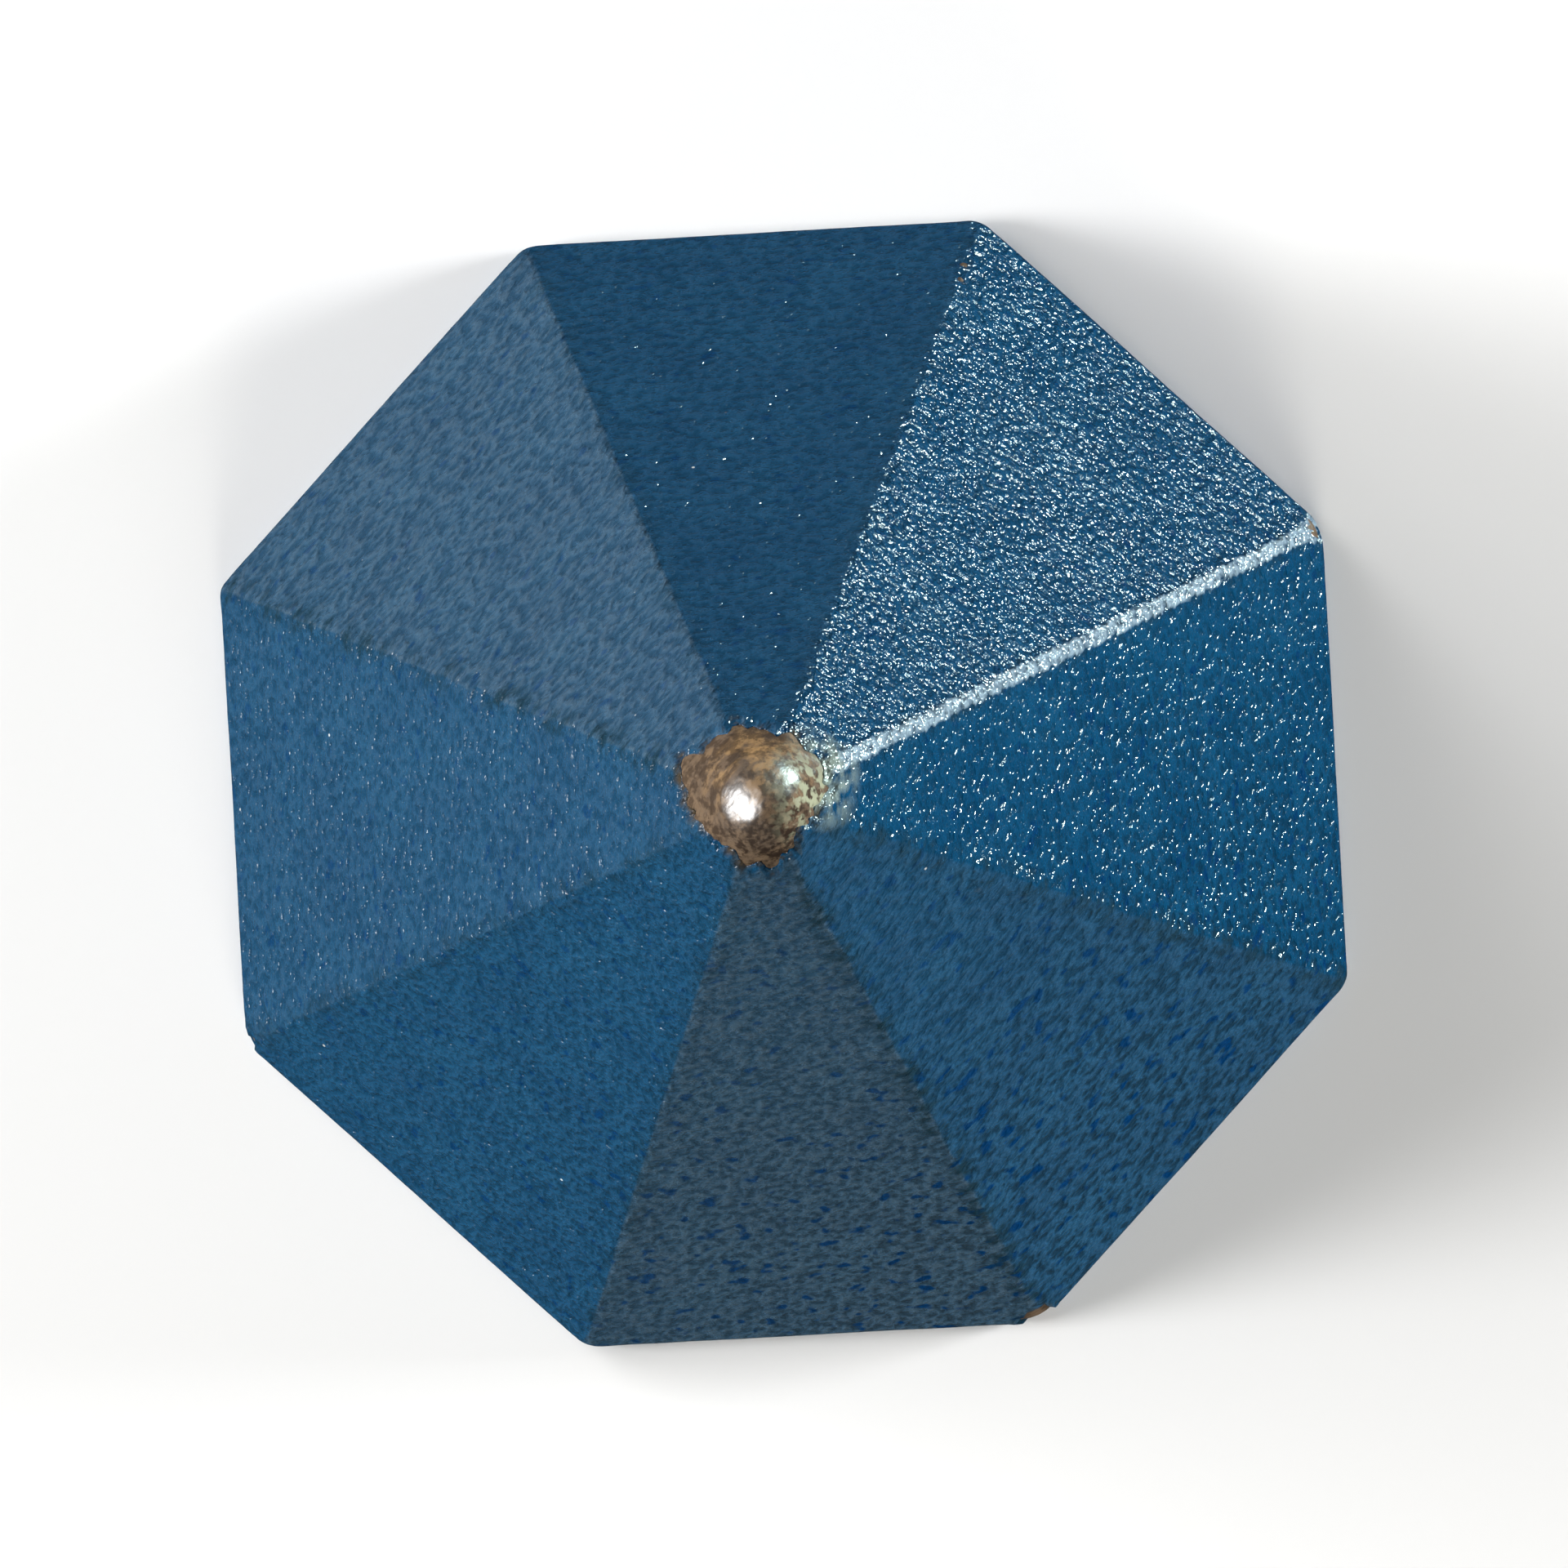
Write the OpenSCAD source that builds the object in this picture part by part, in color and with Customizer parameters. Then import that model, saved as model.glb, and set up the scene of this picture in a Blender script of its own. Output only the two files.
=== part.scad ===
// Octagonal wooden game pawn: one milled pyramid of solid wood inside a film of blue paint.
// The origin is the middle of the resting face and +Z is up. Face 0 looks along +X, and the
// faces and ridges are numbered anticlockwise seen from above.

/* [Overall size] */
// Width across two opposite faces at the foot, over the paint
flats_w = 16; // [12:0.5:40]
// Height from the resting face to the top of the blunt tip, over the paint
body_h = 12.8; // [8:0.1:40]
// Number of sloping faces
sides = 8; // [6:2:12]

/* [Wood] */
// Radius of the blunt tip
tip_r = 0.9; // [0.7:0.05:2]
// Height of the upright band round the foot
foot_band_h = 0.3; // [0.2:0.05:1.5]
// Bevel along the lower edge of the foot
foot_bevel = 0.12; // [0.05:0.01:0.18]
// How far a corner of the foot is rubbed back, which also blunts the ridge above it
corner_rub = 0.06; // [0.03:0.01:0.2]

/* [Paint] */
// Thickness of the paint film
coat_t = 0.06; // [0.03:0.01:0.12]
// Drop from the top of the tip to the middle of the worn edge of the paint
bare_tip_drop = 0.83; // [0.75:0.01:2]
// Tilt of that worn edge
bare_tip_tilt = 14; // [0:1:20]
// Direction in which the paint is worn furthest down, anticlockwise from +X
bare_tip_side = 130; // [0:5:355]
// Radius of the largest chip in the paint
chip_r = 0.4; // [0.2:0.05:0.8]

/* [Hidden] */
$fn = 96;

// Chips in the paint: number of the ridge, share of the way up it, share of chip_r
CHIPS = [[0, 0, 0.8], [6, 0, 1], [4, 0, 0.6], [1, 0.08, 0.6]];
BEVEL_SLOPE = 135;
UPRIGHT = 90;

face_step = 360 / sides;
foot_a = flats_w / 2;
corner_r = foot_a / cos(face_step / 2) - corner_rub;

// The tip is a ball. The faces cut into it just far enough for it to blunt the ridges too.
ball_z = body_h - tip_r;
ball_rise = ball_z - foot_band_h;
face_to_ball = tip_r * cos(face_step / 2);
face_slope = atan2(ball_rise, foot_a) + asin(face_to_ball / norm([foot_a, ball_rise]));

// Where the faces would meet, and the slope of the ridges between them
apex_z = foot_band_h + foot_a * tan(face_slope);
ridge_slope = atan2(apex_z - foot_band_h, corner_r);
ball_join_z = ball_z + tip_r * cos(ridge_slope);

// Longer than any cut through the pawn
span = 4 * (flats_w + apex_z);

// Everything behind one flat wall, which passes (reach, at_z) and rises towards the axis
module behind_wall(reach, at_z, slope, inset) {
    translate([reach, 0, at_z])
        rotate([0, slope - UPRIGHT, 0])
            translate([-span - inset, -span / 2, -span / 2])
                cube(span);
}

module inside_walls(reach, at_z, slope, inset) {
    intersection_for (i = [0 : sides - 1])
        rotate([0, 0, i * face_step])
            behind_wall(reach, at_z, slope, inset);
}

// The round form that rubs back the corners and ridges
module rubbed_round(inset) {
    cone_h = 2 * apex_z;
    intersection() {
        translate([0, 0, inset])
            cylinder(h = span, r = corner_r - inset);
        translate([0, 0, apex_z - cone_h - inset / cos(ridge_slope)])
            cylinder(h = cone_h, r1 = cone_h / tan(ridge_slope), r2 = 0);
    }
}

module blunt_end(inset) {
    translate([0, 0, ball_z])
        sphere(r = tip_r - inset);
    translate([-span / 2, -span / 2, ball_join_z - span])
        cube(span);
}

// The whole pawn with every face set back by inset
module pawn_form(inset) {
    intersection() {
        inside_walls(foot_a, 0, UPRIGHT, inset);
        inside_walls(foot_a, foot_band_h, face_slope, inset);
        inside_walls(foot_a - foot_bevel, 0, BEVEL_SLOPE, inset);
        rubbed_round(inset);
        union()
            blunt_end(inset);
    }
}

module worn_tip() {
    translate([0, 0, body_h - bare_tip_drop])
        rotate([0, bare_tip_tilt, bare_tip_side])
            translate([-span / 2, -span / 2, 0])
                cube(span);
}

module chip(ridge, up, size) {
    rotate([0, 0, (ridge + 1 / 2) * face_step])
        translate([corner_r * (1 - up), 0, foot_band_h + up * (apex_z - foot_band_h)])
            sphere(r = chip_r * size);
}

module wood_body() {
    color("peru")
        pawn_form(coat_t);
}

module paint_coat() {
    color("steelblue")
        difference() {
            pawn_form(0);
            pawn_form(coat_t);
            worn_tip();
            for (c = CHIPS)
                chip(c[0], c[1], c[2]);
        }
}

wood_body();
paint_coat();
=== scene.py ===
"""Looks of the painted wooden game pawn, built around its packed wood body and paint coat."""

import math

import bpy
import numpy as np
from mathutils import Matrix, Vector, noise


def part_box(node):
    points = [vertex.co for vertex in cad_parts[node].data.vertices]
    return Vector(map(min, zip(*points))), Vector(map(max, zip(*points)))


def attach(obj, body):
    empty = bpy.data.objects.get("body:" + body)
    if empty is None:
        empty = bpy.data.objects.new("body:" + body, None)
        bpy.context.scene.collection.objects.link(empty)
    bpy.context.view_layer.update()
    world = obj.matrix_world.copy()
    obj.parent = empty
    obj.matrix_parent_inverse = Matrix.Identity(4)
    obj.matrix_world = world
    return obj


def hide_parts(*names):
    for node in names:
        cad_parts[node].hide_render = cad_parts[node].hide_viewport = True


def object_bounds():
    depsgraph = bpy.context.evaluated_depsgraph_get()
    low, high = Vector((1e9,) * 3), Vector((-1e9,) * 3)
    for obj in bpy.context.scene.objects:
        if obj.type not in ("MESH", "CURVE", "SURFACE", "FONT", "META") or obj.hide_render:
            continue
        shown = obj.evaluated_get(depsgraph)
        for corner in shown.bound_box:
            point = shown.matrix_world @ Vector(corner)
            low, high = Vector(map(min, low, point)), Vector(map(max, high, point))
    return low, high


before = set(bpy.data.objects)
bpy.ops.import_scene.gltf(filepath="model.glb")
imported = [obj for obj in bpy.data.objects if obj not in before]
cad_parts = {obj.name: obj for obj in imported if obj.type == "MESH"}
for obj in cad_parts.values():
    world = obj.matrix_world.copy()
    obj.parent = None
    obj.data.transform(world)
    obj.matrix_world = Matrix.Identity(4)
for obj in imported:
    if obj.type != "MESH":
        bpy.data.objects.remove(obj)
cad_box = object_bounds()

MM = 0.001

# ---------------------------------------------------------------- sizes, from the frame

coat_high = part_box("paint_coat")[1]
wood_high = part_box("wood_body")[1]
FILM = coat_high.x - wood_high.x
FOOT_APOTHEM = coat_high.x
WOOD_TOP = wood_high.z


def sloping_face(node):
    """Outward and upward parts of the normal, and distance from the origin, of the +X sloping face."""
    found = []
    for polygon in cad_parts[node].data.polygons:
        n = polygon.normal
        if n.x > 0.5 and abs(n.y) < 0.02 and 0.2 < n.z < 0.9:
            found.append((polygon.area, n.x, n.z, n.dot(polygon.center)))
    return max(found)[1:]


FACE_OUT, FACE_UP, FACE_DISTANCE = sloping_face("paint_coat")
FACE_TILT = math.asin(FACE_UP)
BAND_TOP = (FACE_DISTANCE - FACE_OUT * FOOT_APOTHEM) / FACE_UP
APEX = FACE_DISTANCE / FACE_UP

# ---------------------------------------------------------------- how the real piece is worn

SIDES = 8
FACE_STEP = 2 * math.pi / SIDES
HALF_TAN = math.tan(FACE_STEP / 2)

# Ridge k lies between faces k and k + 1. Face 0 looks along +X.
CORNER_RUB = 0.06 * MM
RIDGE_RADIUS = 0.20 * MM
RIDGE_HALF_WIDTH = 0.15 * MM
GLOSS_AND_HIGHLIGHT_HALF_WIDTH = 0.085 * MM
CORNER_REACH = 1.2 * MM
FOOT_CORNERS = np.array([0.75, 0.55, 0.65, 0.5, 1.0, 0.7, 1.1, 0.35]) * MM
RIDGE_WEAR = np.array([0.6, 0.35, 0.35, 0.9, 0.5, 0.4, 1.0, 0.8])
# How glossy each ridge is; the same share sets how strong the painted highlight along it is, strongest on
# ridge 0
RIDGE_GLOSS_AND_HIGHLIGHT = np.array([1.0, 0.1, 0.05, 0.05, 0.05, 0.05, 0.05, 0.1])
ARRIS_LOW = 0.14 * MM
ARRIS_TOP = 0.22 * MM

# Edge of the paint round the worn tip: its mean apothem, how far it leans and to which side
EDGE_APOTHEM = 0.93 * MM
EDGE_LEAN = 0.16 * MM
EDGE_SIDE = math.radians(132)
EDGE_RAGGED = 0.15 * MM
EDGE_TAPER = 0.22 * MM
FAR = 9 * MM

# How far the rubbed side of the bare tip leans from level, towards -X
RUBBED_LEAN = math.radians(27)
# Where the rubbing starts, as a share of the tip's radius, and the share of what stands proud that it takes
RUBBED_REACH = 0.85
RUBBED_SHARE = 0.75
# How softly the rubbed side runs into the rest
RUBBED_SOFT = 0.06 * MM

# Ridge, share of the way up it, radius: chips in the paint, notches pressed into it and lumps of it
CHIPS = [
    (0, 0.0, 0.20 * MM),
    (6, 0.0, 0.30 * MM),
    (4, 0.0, 0.15 * MM),
    (1, 0.075, 0.11 * MM),
    (1, 0.10, 0.09 * MM),
]
NOTCHES = [(3, 0.38, 0.16 * MM), (3, 0.50, 0.18 * MM), (3, 0.62, 0.2 * MM), (6, 0.3, 0.15 * MM)]
LUMPS = [(7, 0.62, 0.3 * MM), (7, 0.55, 0.2 * MM), (6, 0.55, 0.25 * MM)]

# Apothems between which the section turns from an octagon into a circle
ROUND_FROM = 1.25 * MM
ROUND_TO = 0.55 * MM

# ---------------------------------------------------------------- rings of points round the pawn

FLAT_STEPS = 72
ARC_STEPS = 8
PER_FACE = FLAT_STEPS + ARC_STEPS


def smooth(x):
    x = np.clip(x, 0.0, 1.0)
    return x * x * (3 - 2 * x)


def corner_radius(ridge, apothem, height):
    """How round the section is at a ridge: most at the corners of the foot."""
    near_foot = np.clip(1 - height / CORNER_REACH, 0, 1) ** 2
    radius = RIDGE_RADIUS + (FOOT_CORNERS[ridge % SIDES] - RIDGE_RADIUS) * near_foot
    return np.minimum(radius, 0.9 * apothem)


def tip_roundness(apothem, height):
    """0 where the section is a rounded octagon, 1 near the worn tip, where it is a circle."""
    return smooth((ROUND_FROM - apothem) / (ROUND_FROM - ROUND_TO)) * (height > WOOD_TOP / 2)


class Ring:
    """A closed loop round the pawn with its normals.

    apothem and height are numbers or have one value per column.
    """

    def __init__(self, step, apothem, height, tilt, inset=0.0):
        column = np.arange(0, PER_FACE * SIDES, step)
        face, place = np.divmod(column, PER_FACE)
        turn = np.maximum(place - FLAT_STEPS, 0) / ARC_STEPS * FACE_STEP
        along = np.minimum(place, FLAT_STEPS) / FLAT_STEPS
        a = np.broadcast_to(np.asarray(apothem, float), column.shape)
        z = np.broadcast_to(np.asarray(height, float), column.shape)
        after, before = corner_radius(face, a, z), corner_radius(face - 1, a, z)
        right, left = (a - after) * HALF_TAN, (a - before) * HALF_TAN
        x = a - after * (1 - np.cos(turn))
        y = along * (right + left) - left + after * np.sin(turn)
        middle = face * FACE_STEP
        cos, sin = np.cos(middle), np.sin(middle)
        octagon = np.stack([x * cos - y * sin, x * sin + y * cos])
        facing = np.stack([np.cos(middle + turn), np.sin(middle + turn)])
        # The circle has its columns evenly spaced, so that none of them meet at the tip
        around = middle + FACE_STEP * ((place + ARC_STEPS / 2) / PER_FACE - 0.5)
        radial = np.stack([np.cos(around), np.sin(around)])
        roundness = tip_roundness(a, z)
        facing = facing + (radial - facing) * roundness
        facing = facing / np.linalg.norm(facing, axis=0) * np.cos(tilt)
        self.normals = np.stack([*facing, np.full(len(column), np.sin(tilt))], axis=1)
        self.points = np.stack([*(octagon + (radial * a - octagon) * roundness), z], axis=1)
        self.points = self.points - self.normals * inset
        self.ridge = np.where(along < 0.5, face - 1, face) % SIDES
        self.from_ridge = np.minimum(along * (right + left), (1 - along) * (right + left))
        self.apothem = a
        self.column = column


def face_height(apothem):
    return (FACE_DISTANCE - FACE_OUT * apothem) / FACE_UP


def between(first, last, spacing):
    """Values from first towards last, evenly spaced, without last."""
    count = max(1, round(abs(last - first) / spacing))
    return [first + (last - first) * i / count for i in range(count)]


def strip(lower, lower_count, upper, upper_count):
    """Faces between two loops, of which one may have half as many points.

    lower and upper are the indices of their first points.
    """
    faces = []
    if lower_count == upper_count:
        for i in range(lower_count):
            j = (i + 1) % lower_count
            faces.append((lower + i, lower + j, upper + j, upper + i))
        return faces
    for i in range(min(lower_count, upper_count)):
        j = (i + 1) % min(lower_count, upper_count)
        fine = (2 * i, 2 * i + 1, (2 * i + 2) % max(lower_count, upper_count))
        if lower_count > upper_count:
            f0, f1, f2 = (lower + f for f in fine)
            faces += [(f0, f1, upper + i), (f1, upper + j, upper + i), (f1, f2, upper + j)]
        else:
            f0, f1, f2 = (upper + f for f in fine)
            faces += [(lower + i, f1, f0), (lower + i, lower + j, f1), (lower + j, f2, f1)]
    return faces


def skin(rings, first_middle, last_middle):
    """(points, faces) of a closed surface over the rings, with a point in the middle of each end."""
    points, faces = [np.array([first_middle])], []
    start = 1
    count = len(rings[0].points)
    faces += [(0, 1 + (i + 1) % count, 1 + i) for i in range(count)]
    for ring, above in zip(rings, rings[1:] + [None]):
        count = len(ring.points)
        points.append(ring.points)
        if above is not None:
            faces += strip(start, count, start + count, len(above.points))
        else:
            faces += [(start + i, start + (i + 1) % count, start + count) for i in range(count)]
        start += count
    points.append(np.array([last_middle]))
    return np.concatenate(points), faces


def noise_at(points, wavelength, seed):
    shift = Vector((seed * 7.31, seed * 3.17, seed * 5.73))
    return np.array([noise.noise(Vector(p) / wavelength + shift, noise_basis="PERLIN_NEW") for p in points])


def ridge_point(ridge, up):
    """A point on a ridge, the given share of the way from the foot to where the ridges would meet."""
    azimuth = (ridge + 0.5) * FACE_STEP
    radius = (FOOT_APOTHEM / math.cos(FACE_STEP / 2) - CORNER_RUB) * (1 - up)
    height = BAND_TOP + up * (APEX - BAND_TOP)
    return np.array([radius * math.cos(azimuth), radius * math.sin(azimuth), height])


def near_spots(points, spots, softness, seed):
    """0 to 1 for each point: inside one of the spots on the ridges, whose outlines wander."""
    inside = np.zeros(len(points))
    wander = noise_at(points, 0.13 * MM, seed) + 0.5 * noise_at(points, 0.05 * MM, seed + 1)
    for ridge, up, radius in spots:
        gap = radius * (1 + 0.5 * wander) - np.linalg.norm(points - ridge_point(ridge, up), axis=1)
        inside = np.maximum(inside, smooth(gap / softness + 0.5))
    return inside


# ---------------------------------------------------------------- the two meshes


def worn_edge():
    """Apothem of the ragged upper edge of the paint, one value per column of the finest ring."""
    ring = Ring(1, EDGE_APOTHEM, face_height(EDGE_APOTHEM), FACE_TILT)
    angle = np.arctan2(ring.points[:, 1], ring.points[:, 0])
    around = np.stack([np.cos(angle), np.sin(angle), np.zeros(len(angle))], axis=1)
    ragged = noise_at(around, 0.83, 11) + 0.7 * noise_at(around, 0.31, 12)
    ragged = ragged + 0.6 * noise_at(around, 0.12, 13)
    return EDGE_APOTHEM + EDGE_LEAN * np.cos(angle - EDGE_SIDE) + EDGE_RAGGED * ragged


def foot_rings(step_at, inset=0.0):
    """From the middle of the underside to the start of the sloping faces."""
    rings = []
    flat_apothem = FOOT_APOTHEM - ARRIS_LOW
    for apothem in between(0.5 * MM, flat_apothem, 0.35 * MM):
        rings.append(Ring(step_at(apothem), apothem, 0.0, -math.pi / 2, inset))
    for i in range(5):
        turn = -math.pi / 2 * (1 - i / 4)
        apothem = flat_apothem + ARRIS_LOW * math.cos(turn)
        rings.append(Ring(step_at(apothem), apothem, ARRIS_LOW * (1 + math.sin(turn)), turn, inset))
    reach = ARRIS_TOP * math.tan(FACE_TILT / 2)
    for i in range(4):
        turn = FACE_TILT * i / 3
        apothem = FOOT_APOTHEM - ARRIS_TOP * (1 - math.cos(turn))
        height = BAND_TOP - reach + ARRIS_TOP * math.sin(turn)
        rings.append(Ring(step_at(apothem), apothem, height, turn, inset))
    return rings


# Apothem at which the rounded top edge of the foot runs into the sloping faces
ARRIS_END = FOOT_APOTHEM - ARRIS_TOP * (1 - math.cos(FACE_TILT)) - 0.05 * MM


def face_rings(first, last, spacing, step, inset=0.0):
    return [Ring(step, a, face_height(a), FACE_TILT, inset) for a in between(first, last, spacing)]


def mesh_object(name, points, faces, attributes=None):
    mesh = bpy.data.meshes.new(name)
    mesh.from_pydata(points.tolist(), [], faces)
    for key, values in (attributes or {}).items():
        held = mesh.attributes.new(key, "FLOAT", "POINT")
        held.data.foreach_set("value", np.asarray(values, np.float32))
    mesh.polygons.foreach_set("use_smooth", [True] * len(mesh.polygons))
    made = bpy.data.objects.new(name, mesh)
    bpy.context.scene.collection.objects.link(made)
    return made


def paint_outside(edge):
    """Rings of the paint's outer side, from the middle of the underside up to its ragged edge."""
    fine_to, middle_to, top_from = 4.0 * MM, 2.0 * MM, 1.5 * MM
    rings = foot_rings(lambda apothem: 1 if apothem > 7 * MM else 2 if apothem > 3 * MM else 4)
    rings += face_rings(ARRIS_END, fine_to, 0.1 * MM, 1)
    rings += face_rings(fine_to, middle_to, 0.075 * MM, 2)
    rings += face_rings(middle_to, top_from, 0.03 * MM, 4)
    rows = 30
    for i in range(rows + 1):
        apothem = top_from + (edge[::4] - top_from) * i / rows
        rings.append(Ring(4, apothem, face_height(apothem), FACE_TILT))
    return rings


def paint_inside(edge, inset):
    """Rings of the paint's inner side, from its ragged edge down to the middle of the underside."""
    rings = [Ring(4, edge[::4], face_height(edge[::4]), FACE_TILT, inset)]
    rings += face_rings(2 * MM, ARRIS_END, 1.5 * MM, 8, inset)
    rings += [Ring(8, FOOT_APOTHEM - inset, BAND_TOP, 0.0), Ring(8, FOOT_APOTHEM - inset, inset, 0.0)]
    return rings + [Ring(8, a, inset, math.pi / 2) for a in (6 * MM, 3 * MM, 1 * MM)]


def make_paint():
    """The film of paint: a closed shell whose outer side carries the real bumps, dents and wear."""
    edge = worn_edge()
    outer = paint_outside(edge)
    inset = FILM + 0.03 * MM
    points, faces = skin(outer + paint_inside(edge, inset), (0, 0, 0), (0, 0, inset))
    count = 1 + sum(len(ring.points) for ring in outer)
    normals = np.concatenate([[(0, 0, -1)]] + [ring.normals for ring in outer])
    ridge = np.concatenate([[0]] + [ring.ridge for ring in outer])
    from_ridge = np.concatenate([[FAR]] + [ring.from_ridge for ring in outer])
    to_edge = np.concatenate([[FAR]] + [(ring.apothem - edge[ring.column]) / FACE_UP for ring in outer])
    outside = points[:count]
    to_edge = np.where(outside[:, 2] > WOOD_TOP / 2, to_edge, FAR)

    on_side = smooth((normals[:, 2] + 0.6) / 0.5)
    by_ridge = np.exp(-((from_ridge / RIDGE_HALF_WIDTH) ** 2)) * on_side
    wear = RIDGE_WEAR[ridge] * by_ridge
    # The ridges' gloss also carries a painted highlight: pale colour along them, strongest on ridge 0
    gloss = RIDGE_GLOSS_AND_HIGHLIGHT[ridge] * np.exp(-((from_ridge / GLOSS_AND_HIGHLIGHT_HALF_WIDTH) ** 2)) * on_side
    lift = 0.010 * MM * noise_at(outside, 2.6 * MM, 1) * on_side
    lift += 0.0035 * MM * noise_at(outside, 0.45 * MM, 2)
    lift += 0.030 * MM * wear * (noise_at(outside, 0.55 * MM, 3) + 0.7 * noise_at(outside, 0.22 * MM, 4))
    lift -= 0.045 * MM * near_spots(outside, NOTCHES, 0.16 * MM, 20)
    lift += 0.050 * MM * near_spots(outside, LUMPS, 0.25 * MM, 24)
    chipped = near_spots(outside, CHIPS, 0.05 * MM, 28)
    lift = lift * (1 - chipped) - (FILM + 0.018 * MM) * chipped
    thin = 1 - smooth(to_edge / EDGE_TAPER)
    lift = lift * (1 - thin) - (FILM - 0.004 * MM) * thin
    points[:count] += normals * lift[:, None]

    hidden = np.zeros(len(points) - count)
    marks = {"ridge_gloss_and_highlight": gloss, "ridge_wear": wear, "thin_paint": thin}
    marks = {name: np.concatenate([values, hidden]) for name, values in marks.items()}
    return mesh_object("paint_film", points, faces, marks)


def make_wood():
    """The wood under the paint, with its worn tip as one rounded and dented end."""
    distance = FACE_DISTANCE - FILM
    ball = (distance - FACE_UP * WOOD_TOP) / (1 - FACE_UP)
    ball_z = WOOD_TOP - ball
    join = ball * FACE_OUT
    rings = foot_rings(lambda apothem: 2 if apothem > 6.5 * MM else 4 if apothem > 3 * MM else 8, FILM)
    rings += face_rings(ARRIS_END, 6.5 * MM, 0.12 * MM, 2, FILM)
    rings += face_rings(6.5 * MM, 1.6 * MM, 0.4 * MM, 4, FILM)
    rings += face_rings(1.6 * MM, join + FILM * FACE_OUT, 0.025 * MM, 4, FILM)
    dome_rows = 26
    for i in range(dome_rows):
        turn = FACE_TILT + (math.pi / 2 - FACE_TILT) * i / dome_rows
        rings.append(Ring(4, ball * math.cos(turn), ball_z + ball * math.sin(turn), turn))
    points, faces = skin(rings, (0, 0, FILM), (0, 0, WOOD_TOP))
    normals = np.concatenate([[(0, 0, -1)]] + [ring.normals for ring in rings] + [[(0, 0, 1)]])

    at_tip = smooth((points[:, 2] - (WOOD_TOP - 1.7 * MM)) / (0.6 * MM))
    lift = 0.024 * MM * noise_at(points, 0.60 * MM, 41) + 0.012 * MM * noise_at(points, 0.24 * MM, 42)
    lift += 0.004 * MM * noise_at(points, 0.09 * MM, 43)
    points = points + normals * (lift * at_tip)[:, None]
    # The tip is rubbed flat on the side it is worn to most
    rubbed = np.array((-math.sin(RUBBED_LEAN), 0.0, math.cos(RUBBED_LEAN)))
    proud = points @ rubbed - (ball_z * rubbed[2] + ball * RUBBED_REACH)
    proud = np.maximum(proud, 0)
    points -= np.outer(RUBBED_SHARE * proud ** 2 / (proud + RUBBED_SOFT), rubbed)
    return mesh_object("wood_grain_body", points, faces)


# ---------------------------------------------------------------- materials

GRAIN_TURN = math.radians(47)
# Sides of the bare tip that are golden, grimy and still primed
GOLD_AT = (-0.05 * MM, 0.60 * MM, WOOD_TOP - 0.4 * MM)
GRIME_AT = (0.25 * MM, -0.65 * MM, WOOD_TOP - 0.5 * MM)
PRIMER_AT = (0.70 * MM, 0.05 * MM, WOOD_TOP - 0.5 * MM)
# How much of each face carries a painted sheen, a grey veil of painted reflection, face 0 first
FACE_PAINTED_SHEEN = [0.0, 0.0, 0.07, 0.24, 0.10, 0.05, 0.25, 0.08]
# Around here on the foot the paint has the most pits, and the most painted shade in the hollows of its
# bumps
PITTED_AT = (4 * MM, -7 * MM, 1 * MM)
# Around here the paint next to the bare tip still shows primer
PAINT_PRIMER_AT = (1.0 * MM, 0.35 * MM, WOOD_TOP - 0.7 * MM)

DEEP_BLUE = (0.0014, 0.039, 0.095, 1)
FRESH_BLUE = (0.0026, 0.048, 0.110, 1)
# Painted shade in the hollows of the bumps
PAINTED_HOLLOW_SHADE = (0.001, 0.018, 0.040, 1)
PIT_BLUE = (0.0006, 0.023, 0.080, 1)
SCUFFED_BLUE = (0.007, 0.025, 0.040, 1)
# Grey of the painted sheen, a painted reflection
PAINTED_SHEEN_GREY = (0.10, 0.13, 0.14, 1)
# Pale colour of the painted highlight along the ridges
PAINTED_RIDGE_HIGHLIGHT = (0.27, 0.38, 0.45, 1)
THIN_BROWN = (0.050, 0.036, 0.020, 1)
PAINT_PRIMER = (0.20, 0.26, 0.23, 1)
LINT = (0.42, 0.43, 0.43, 1)
GRIT = (0.30, 0.17, 0.08, 1)
WOOD_GOLD = (0.28, 0.17, 0.072, 1)
WOOD_BROWN = (0.10, 0.07, 0.047, 1)
WOOD_DARK = (0.024, 0.015, 0.010, 1)
WOOD_PRIMER = (0.26, 0.28, 0.19, 1)
FLOOR_WHITE = (0.86, 0.86, 0.86, 1)

LINT_SPACING = 1.3 * MM
LINT_SIZE = 0.028 * MM
GRIT_SPACING = 3.1 * MM
GRIT_SIZE = 0.045 * MM

# Wavelengths of the paint's texture, from its slow drift in tone to its bumps
DRIFT_WAVE = 0.9 * MM
WAVY_WAVE = 0.5 * MM
PATCH_WAVE = 0.3 * MM
PIT_WAVE = 0.24 * MM
BUMP_WAVE = 0.12 * MM
BUMP_HEIGHT = 0.105 * MM
# How much longer each feature is along the grain than across it
PAINT_STRETCH = 1.5
PIT_STRETCH = 1.3
FIBRE_STRETCH = 9.0


def add(tree, kind, inputs=None, **settings):
    """A node with these settings.

    inputs maps a socket's name or number to a value or to another node's output.
    """
    made = tree.nodes.new(kind)
    for key, value in settings.items():
        setattr(made, key, value)
    for key, value in (inputs or {}).items():
        if isinstance(value, bpy.types.NodeSocket):
            tree.links.new(value, made.inputs[key])
        else:
            made.inputs[key].default_value = value
    return made


def noise_node(tree, vector, wavelength, detail=2.0, rough=0.5):
    inputs = {"Vector": vector, "Scale": 1 / wavelength, "Detail": detail, "Roughness": rough}
    return add(tree, "ShaderNodeTexNoise", inputs).outputs["Fac"]


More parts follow.
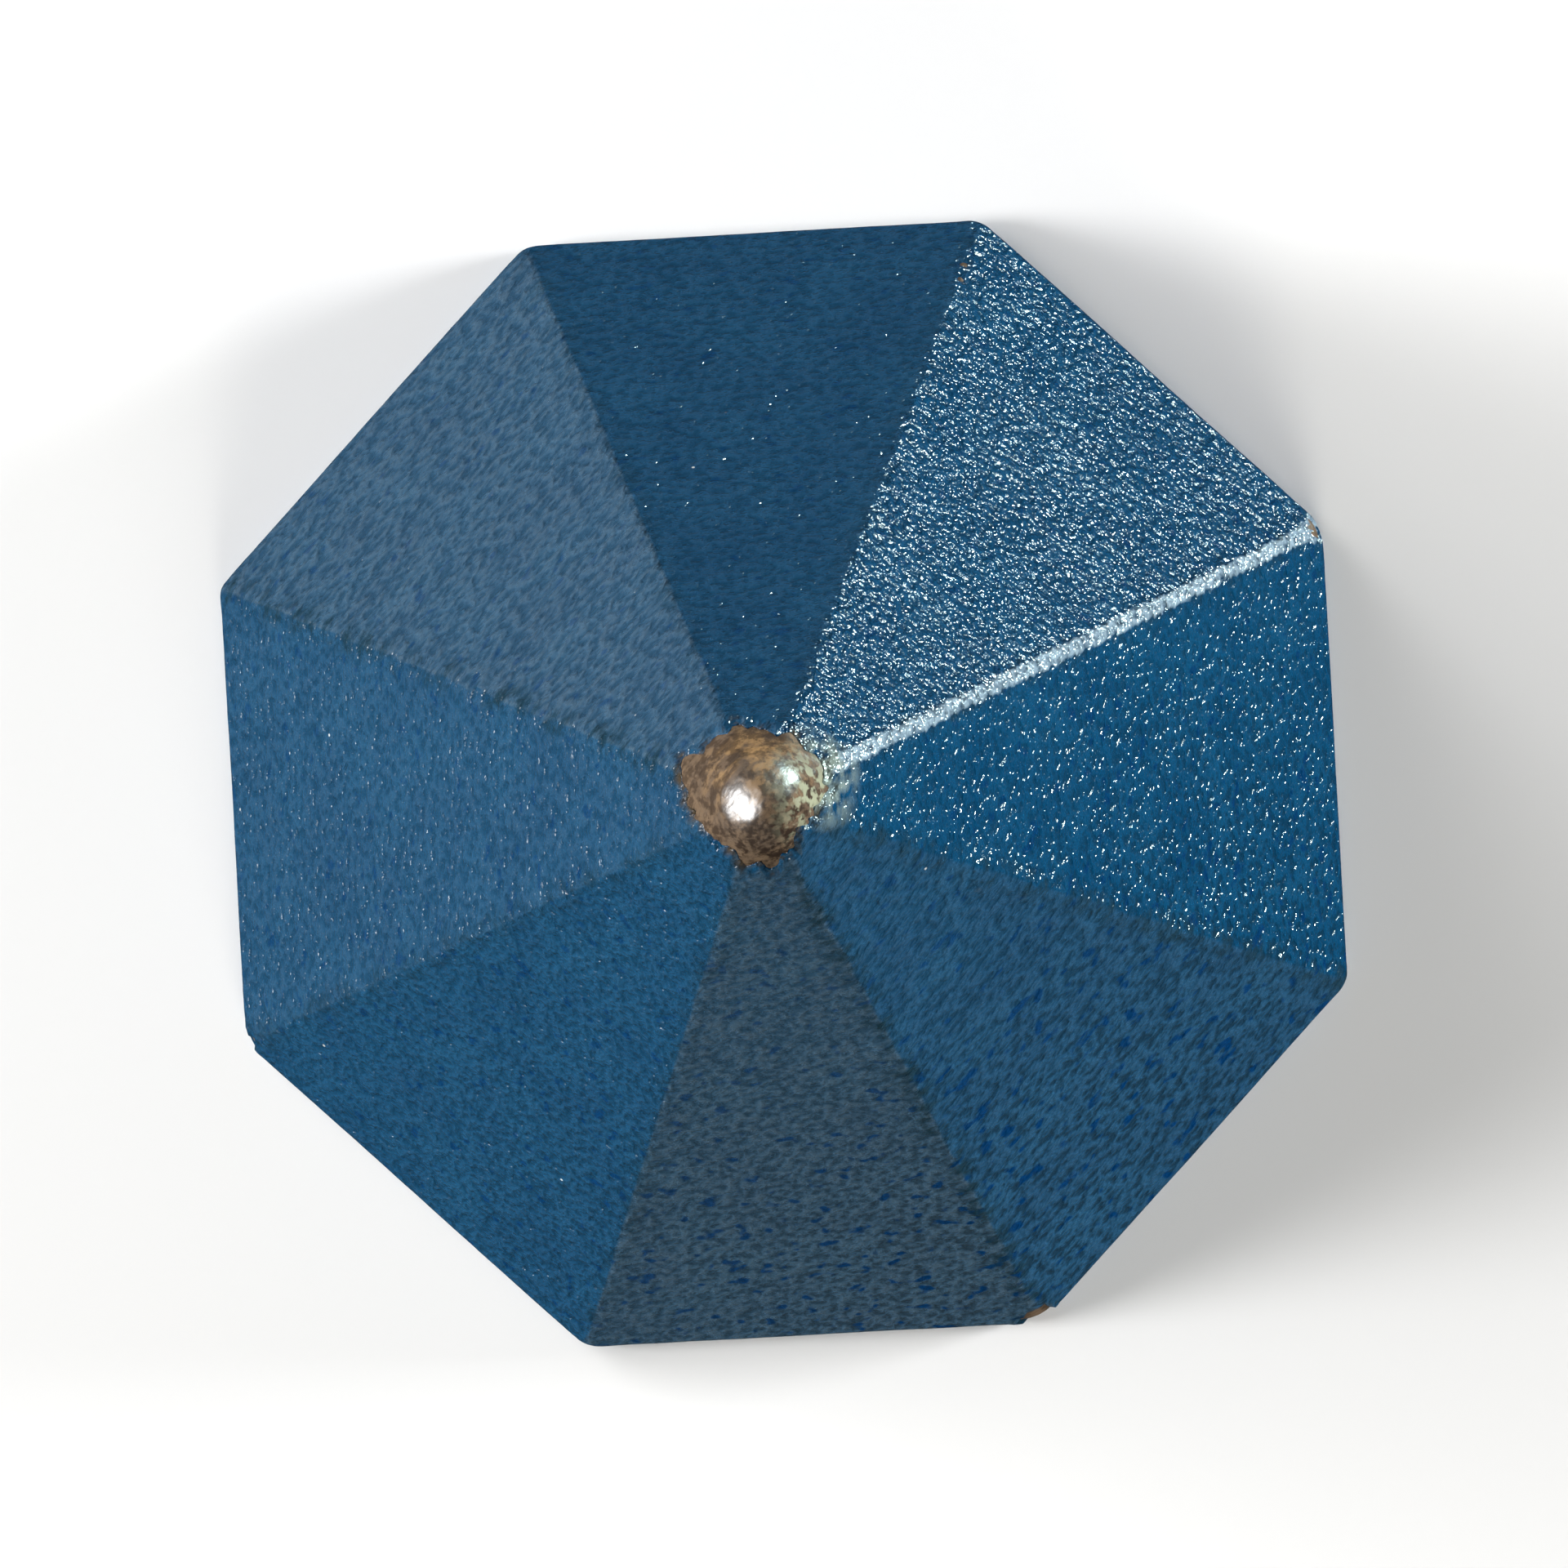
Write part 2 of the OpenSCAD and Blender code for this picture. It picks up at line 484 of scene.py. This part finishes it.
def remap(tree, value, low, high, to_low=0.0, to_high=1.0):
    inputs = {"Value": value, "From Min": low, "From Max": high, "To Min": to_low, "To Max": to_high}
    return add(tree, "ShaderNodeMapRange", inputs).outputs["Result"]


def maths(tree, operation, a, b):
    return add(tree, "ShaderNodeMath", {0: a, 1: b}, operation=operation).outputs[0]


def mix(tree, factor, a, b):
    return add(tree, "ShaderNodeMix", {0: factor, 6: a, 7: b}, data_type="RGBA").outputs[2]


def attribute(tree, name):
    return add(tree, "ShaderNodeAttribute", attribute_name=name).outputs["Fac"]


def bump(tree, height, distance, normal=None, strength=1.0):
    inputs = {"Height": height, "Distance": distance, "Strength": strength}
    if normal is not None:
        inputs["Normal"] = normal
    return add(tree, "ShaderNodeBump", inputs).outputs["Normal"]


def new_material(name):
    material = bpy.data.materials.new(name)
    material.use_nodes = True
    material.node_tree.nodes.clear()
    tree = material.node_tree
    shader = add(tree, "ShaderNodeBsdfPrincipled")
    output = add(tree, "ShaderNodeOutputMaterial")
    tree.links.new(shader.outputs["BSDF"], output.inputs["Surface"])
    return material, tree, shader


def place_of(tree):
    return add(tree, "ShaderNodeTexCoord").outputs["Object"]


def along_grain(tree, stretch):
    """Object coordinates turned so that X runs along the fibres and squeezed by stretch along them."""
    inputs = {"Vector": place_of(tree), "Angle": -GRAIN_TURN}
    turned = add(tree, "ShaderNodeVectorRotate", inputs, rotation_type="Z_AXIS").outputs[0]
    squeeze = {0: turned, 1: (1 / stretch, 1, 1)}
    return add(tree, "ShaderNodeVectorMath", squeeze, operation="MULTIPLY").outputs[0]


def distance_from(tree, point):
    inputs = {0: place_of(tree), 1: point}
    return add(tree, "ShaderNodeVectorMath", inputs, operation="DISTANCE").outputs["Value"]


def face_mask(tree, face):
    """1 on one sloping face, 0 on the others."""
    normal = add(tree, "ShaderNodeTexCoord").outputs["Normal"]
    azimuth = face * FACE_STEP
    along = (FACE_OUT * math.cos(azimuth), FACE_OUT * math.sin(azimuth), FACE_UP)
    dot = add(tree, "ShaderNodeVectorMath", {0: normal, 1: along}, operation="DOT_PRODUCT").outputs["Value"]
    return remap(tree, dot, 0.88, 0.96)


def painted_sheen_amount(tree, fine):
    """How much painted sheen, a grey veil of painted reflection, lies on the paint: more on some faces, and
    more on fibres than in hollows.
    """
    total = None
    for face, amount in enumerate(FACE_PAINTED_SHEEN):
        if amount:
            part = maths(tree, "MULTIPLY", face_mask(tree, face), amount)
            total = maths(tree, "ADD", total, part) if total is not None else part
    return maths(tree, "MULTIPLY", total, remap(tree, fine, 0.38, 0.62, 0.55, 1.45))


def dust(tree, spacing, size):
    """1 inside small round specks that lie about spacing apart, 0 elsewhere."""
    inputs = {"Vector": place_of(tree), "Scale": 1 / spacing, "Randomness": 1.0}
    cells = add(tree, "ShaderNodeTexVoronoi", inputs)
    return remap(tree, cells.outputs["Distance"], size / spacing, 0.6 * size / spacing)


def paint_colour(tree, grain, fine, pits, pitted):
    """Deep blue, deeper in the pits, with painted shade in the hollows of the bumps, a painted grey sheen
    on some faces, scuffed ridges with a painted highlight along them, thin brown paint at the tip and dust.
    """
    drift = remap(tree, noise_node(tree, grain, DRIFT_WAVE, 3.0), 0.35, 0.68)
    colour = mix(tree, drift, DEEP_BLUE, FRESH_BLUE)
    # Painted shade: the paint is darker in the hollows of its bumps, most around PITTED_AT
    hollow_shade_share = remap(tree, pitted, 0.3, 1.0, 0.45, 0.95)
    hollow = maths(tree, "MULTIPLY", remap(tree, fine, 0.54, 0.38), hollow_shade_share)
    colour = mix(tree, hollow, colour, PAINTED_HOLLOW_SHADE)
    # Painted reflection: a grey sheen over some faces, more on the raised fibres
    colour = mix(tree, painted_sheen_amount(tree, fine), colour, PAINTED_SHEEN_GREY)
    colour = mix(tree, pits, colour, PIT_BLUE)
    patchy = remap(tree, noise_node(tree, grain, PATCH_WAVE, 3.0, 0.7), 0.45, 0.62)
    worn = maths(tree, "MULTIPLY", attribute(tree, "ridge_wear"), patchy)
    colour = mix(tree, worn, colour, SCUFFED_BLUE)
    # Painted highlight: pale colour on the raised bumps along the ridges, mostly ridge 0, where a lamp
    # glints
    rubbed = maths(tree, "ADD", attribute(tree, "ridge_gloss_and_highlight"), maths(tree, "MULTIPLY", fine, 1.3))
    colour = mix(tree, remap(tree, rubbed, 1.33, 1.75, 0.0, 0.8), colour, PAINTED_RIDGE_HIGHLIGHT)
    thin = maths(tree, "MULTIPLY", attribute(tree, "thin_paint"), patchy)
    colour = mix(tree, thin, colour, THIN_BROWN)
    pale = remap(tree, distance_from(tree, PAINT_PRIMER_AT), 0.9 * MM, 0.35 * MM)
    pale = maths(tree, "MULTIPLY", pale, remap(tree, noise_node(tree, grain, 0.22 * MM, 2.0), 0.35, 0.6))
    colour = mix(tree, pale, colour, PAINT_PRIMER)
    colour = mix(tree, dust(tree, LINT_SPACING, LINT_SIZE), colour, LINT)
    return mix(tree, dust(tree, GRIT_SPACING, GRIT_SIZE), colour, GRIT)


def paint_material():
    material, tree, shader = new_material("blue_enamel")
    grain = along_grain(tree, PAINT_STRETCH)
    pitted = remap(tree, distance_from(tree, PITTED_AT), 13 * MM, 3 * MM)
    hollow = noise_node(tree, along_grain(tree, PIT_STRETCH), PIT_WAVE, 1.0)
    hollow = maths(tree, "ADD", hollow, maths(tree, "MULTIPLY", pitted, 0.05))
    pits = remap(tree, hollow, 0.655, 0.73)
    pits = maths(tree, "MULTIPLY", pits, remap(tree, pitted, 0.0, 1.0, 0.5, 1.0))
    fine = noise_node(tree, grain, BUMP_WAVE, 2.0, 0.5)
    tree.links.new(paint_colour(tree, grain, fine, pits, pitted), shader.inputs["Base Color"])

    gloss = attribute(tree, "ridge_gloss_and_highlight")
    rough = remap(tree, noise_node(tree, grain, DRIFT_WAVE, 3.0), 0.3, 0.7, 0.13, 0.18)
    rough = maths(tree, "ADD", rough, maths(tree, "MULTIPLY", attribute(tree, "thin_paint"), 0.12))
    tree.links.new(rough, shader.inputs["Roughness"])
    shine = remap(tree, gloss, 0.0, 1.0, 0.25, 1.0)
    shine = maths(tree, "MULTIPLY", shine, remap(tree, pits, 0.0, 1.0, 1.0, 0.15))
    tree.links.new(shine, shader.inputs["Specular IOR Level"])

    relief = bump(tree, noise_node(tree, grain, WAVY_WAVE, 1.0), 0.020 * MM)
    relief = bump(tree, pits, 0.010 * MM, relief, -1.0)
    raised = maths(tree, "MULTIPLY", fine, remap(tree, gloss, 0.0, 1.0, 1.0, 1.3))
    relief = bump(tree, raised, BUMP_HEIGHT, relief)
    tree.links.new(relief, shader.inputs["Normal"])
    return material


def wood_colour(tree, streak):
    """Mottled brown: golden on one side, grimy on the next, with pale primer on a third."""
    golden = remap(tree, distance_from(tree, GOLD_AT), 1.0 * MM, 0.15 * MM, 0.1, 1.0)
    grimy = remap(tree, distance_from(tree, GRIME_AT), 1.3 * MM, 0.2 * MM, 0.65, 1.0)
    primed = remap(tree, distance_from(tree, PRIMER_AT), 0.85 * MM, 0.25 * MM)
    blotch = remap(tree, noise_node(tree, along_grain(tree, 1.5), 0.30 * MM, 4.0, 0.65), 0.42, 0.56)
    grime = remap(tree, noise_node(tree, along_grain(tree, 1.0), 0.20 * MM, 4.0, 0.7), 0.45, 0.55)
    flecks = remap(tree, noise_node(tree, along_grain(tree, 1.0), 0.16 * MM, 2.0, 0.6), 0.46, 0.56)
    colour = mix(tree, maths(tree, "MULTIPLY", blotch, golden), WOOD_BROWN, WOOD_GOLD)
    colour = mix(tree, remap(tree, streak, 0.55, 0.75, 0.0, 0.7), colour, WOOD_DARK)
    colour = mix(tree, maths(tree, "MULTIPLY", grime, grimy), colour, WOOD_DARK)
    return mix(tree, maths(tree, "MULTIPLY", flecks, primed), colour, WOOD_PRIMER)


def wood_material():
    material, tree, shader = new_material("burnished_wood")
    streak = noise_node(tree, along_grain(tree, FIBRE_STRETCH), 0.07 * MM, 3.0, 0.6)
    tree.links.new(wood_colour(tree, streak), shader.inputs["Base Color"])
    tree.links.new(remap(tree, streak, 0.3, 0.7, 0.30, 0.45), shader.inputs["Roughness"])
    relief = bump(tree, noise_node(tree, along_grain(tree, 1.2), 0.20 * MM, 2.0), 0.014 * MM)
    relief = bump(tree, streak, 0.006 * MM, relief)
    tree.links.new(relief, shader.inputs["Normal"])
    tree.links.new(relief, shader.inputs["Coat Normal"])
    shader.inputs["Specular IOR Level"].default_value = 0.08
    height = add(tree, "ShaderNodeSeparateXYZ", {0: place_of(tree)}).outputs["Z"]
    polished = remap(tree, height, WOOD_TOP - 0.55 * MM, WOOD_TOP - 0.25 * MM, 0.12, 1.0)
    # What is left of the primer is too dull to mirror a lamp
    dull = remap(tree, distance_from(tree, PRIMER_AT), 0.85 * MM, 0.45 * MM, 1.0, 0.15)
    polished = maths(tree, "MULTIPLY", polished, dull)
    tree.links.new(polished, shader.inputs["Coat Weight"])
    shader.inputs["Coat Roughness"].default_value = 0.37
    shader.inputs["Coat IOR"].default_value = 2.0
    return material


def floor_material():
    material, _, shader = new_material("pale_floor")
    shader.inputs["Base Color"].default_value = FLOOR_WHITE
    shader.inputs["Roughness"].default_value = 0.9
    shader.inputs["Specular IOR Level"].default_value = 0.1
    return material


# ---------------------------------------------------------------- pieces

paint = make_paint()
paint.data.materials.append(paint_material())
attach(paint, "root")
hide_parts("paint_coat")

wood = make_wood()
wood.data.materials.append(wood_material())
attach(wood, "root")
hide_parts("wood_body")

# ---------------------------------------------------------------- floor, lights and camera

FLOOR_HALF = 0.6


def make_floor():
    corners = [(-1, -1), (1, -1), (1, 1), (-1, 1)]
    points = np.array([(x * FLOOR_HALF, y * FLOOR_HALF, cad_box[0][2]) for x, y in corners])
    floor = mesh_object("floor", points, [(0, 1, 2, 3)])
    floor.data.materials.append(floor_material())
    # The bright floor would veil every face in its mirror image
    floor.visible_glossy = False


def aim(made, place, target, up=None):
    """Turns a lamp or camera at place so that it looks at target."""
    made.location = place
    forward = (Vector(target) - Vector(place)).normalized()
    if up is None:
        made.rotation_euler = forward.to_track_quat("-Z", "Y").to_euler()
        return
    right = forward.cross(Vector(up)).normalized()
    top = right.cross(forward)
    turn = Vector(right), Vector(top), -forward
    made.rotation_euler = Matrix(turn).transposed().to_euler()


def lamp(name, azimuth, elevation, distance, size, level, colour=(1, 1, 1)):
    """A square soft lamp that lights a matt white surface facing it to the stated level."""
    data = bpy.data.lights.new(name, "AREA")
    data.shape = "SQUARE"
    data.size = size
    data.energy = level * (math.pi * distance) ** 2
    data.color = colour
    made = bpy.data.objects.new(name, data)
    bpy.context.scene.collection.objects.link(made)
    azimuth, elevation = math.radians(azimuth), math.radians(elevation)
    flat = distance * math.cos(elevation)
    middle = Vector((0, 0, 6 * MM))
    rise = distance * math.sin(elevation)
    place = middle + Vector((flat * math.cos(azimuth), flat * math.sin(azimuth), rise))
    aim(made, place, middle)
    made.visible_camera = False
    return made


def glint_lamp(*settings):
    """A lamp that is only seen mirrored in the gloss of the paint and wood."""
    lamp(*settings).visible_diffuse = False


def soft_lamp(*settings):
    """A lamp that lights the pawn but isn't seen mirrored in the gloss."""
    lamp(*settings).visible_glossy = False


def make_world(level):
    world = bpy.data.worlds.new("studio")
    world.use_nodes = True
    world.node_tree.nodes["Background"].inputs["Color"].default_value = (level, level, level, 1)
    bpy.context.scene.world = world


WORLD_LEVEL = 0.04
WARM_WHITE = (1.0, 0.97, 0.88)
COOL_WHITE = (0.74, 1.0, 0.97)
# Name, azimuth and elevation in degrees, distance and size in metres, level, and colour if not white
SOFT_LAMPS = [
    ("fill", 180, 20, 0.30, 0.10, 1.45),
    ("key", 10, 8, 0.30, 0.07, 1.9),
    ("side", 144, 19, 0.30, 0.20, 1.05),
    ("low", 276, 14, 0.30, 0.12, 0.80, WARM_WHITE),
]
GLINT_LAMPS = [
    ("glint", 36, 3, 0.16, 0.016, 4.7, COOL_WHITE),
    ("shine", 190, 38, 0.30, 0.09, 1.4),
]

VIEW_LEAN = math.radians(1.75)
VIEW_SIDE = math.radians(33)
VIEW_ROLL = math.radians(3.2)
VIEW_DISTANCE = 0.22
# Share of the picture's width that the pawn takes up from one face to the opposite one
OBJECT_SHARE = 0.703


def make_camera():
    """Looks almost straight down on the tip, with the pawn turned a little anticlockwise in view."""
    data = bpy.data.cameras.new("camera")
    made = bpy.data.objects.new("camera", data)
    bpy.context.scene.collection.objects.link(made)
    field = 2 * FOOT_APOTHEM / OBJECT_SHARE
    data.sensor_width = 36
    data.lens = data.sensor_width * VIEW_DISTANCE / field
    data.clip_start, data.clip_end = 0.01, 5
    out = VIEW_DISTANCE * math.sin(VIEW_LEAN)
    place = (out * math.cos(VIEW_SIDE), out * math.sin(VIEW_SIDE), VIEW_DISTANCE * math.cos(VIEW_LEAN))
    aim(made, place, (0, 0, 0), up=(math.sin(VIEW_ROLL), math.cos(VIEW_ROLL), 0))
    bpy.context.scene.camera = made


make_floor()
make_world(WORLD_LEVEL)
for settings in SOFT_LAMPS:
    soft_lamp(*settings)
for settings in GLINT_LAMPS:
    glint_lamp(*settings)
make_camera()

bpy.context.scene.view_settings.view_transform = "Standard"
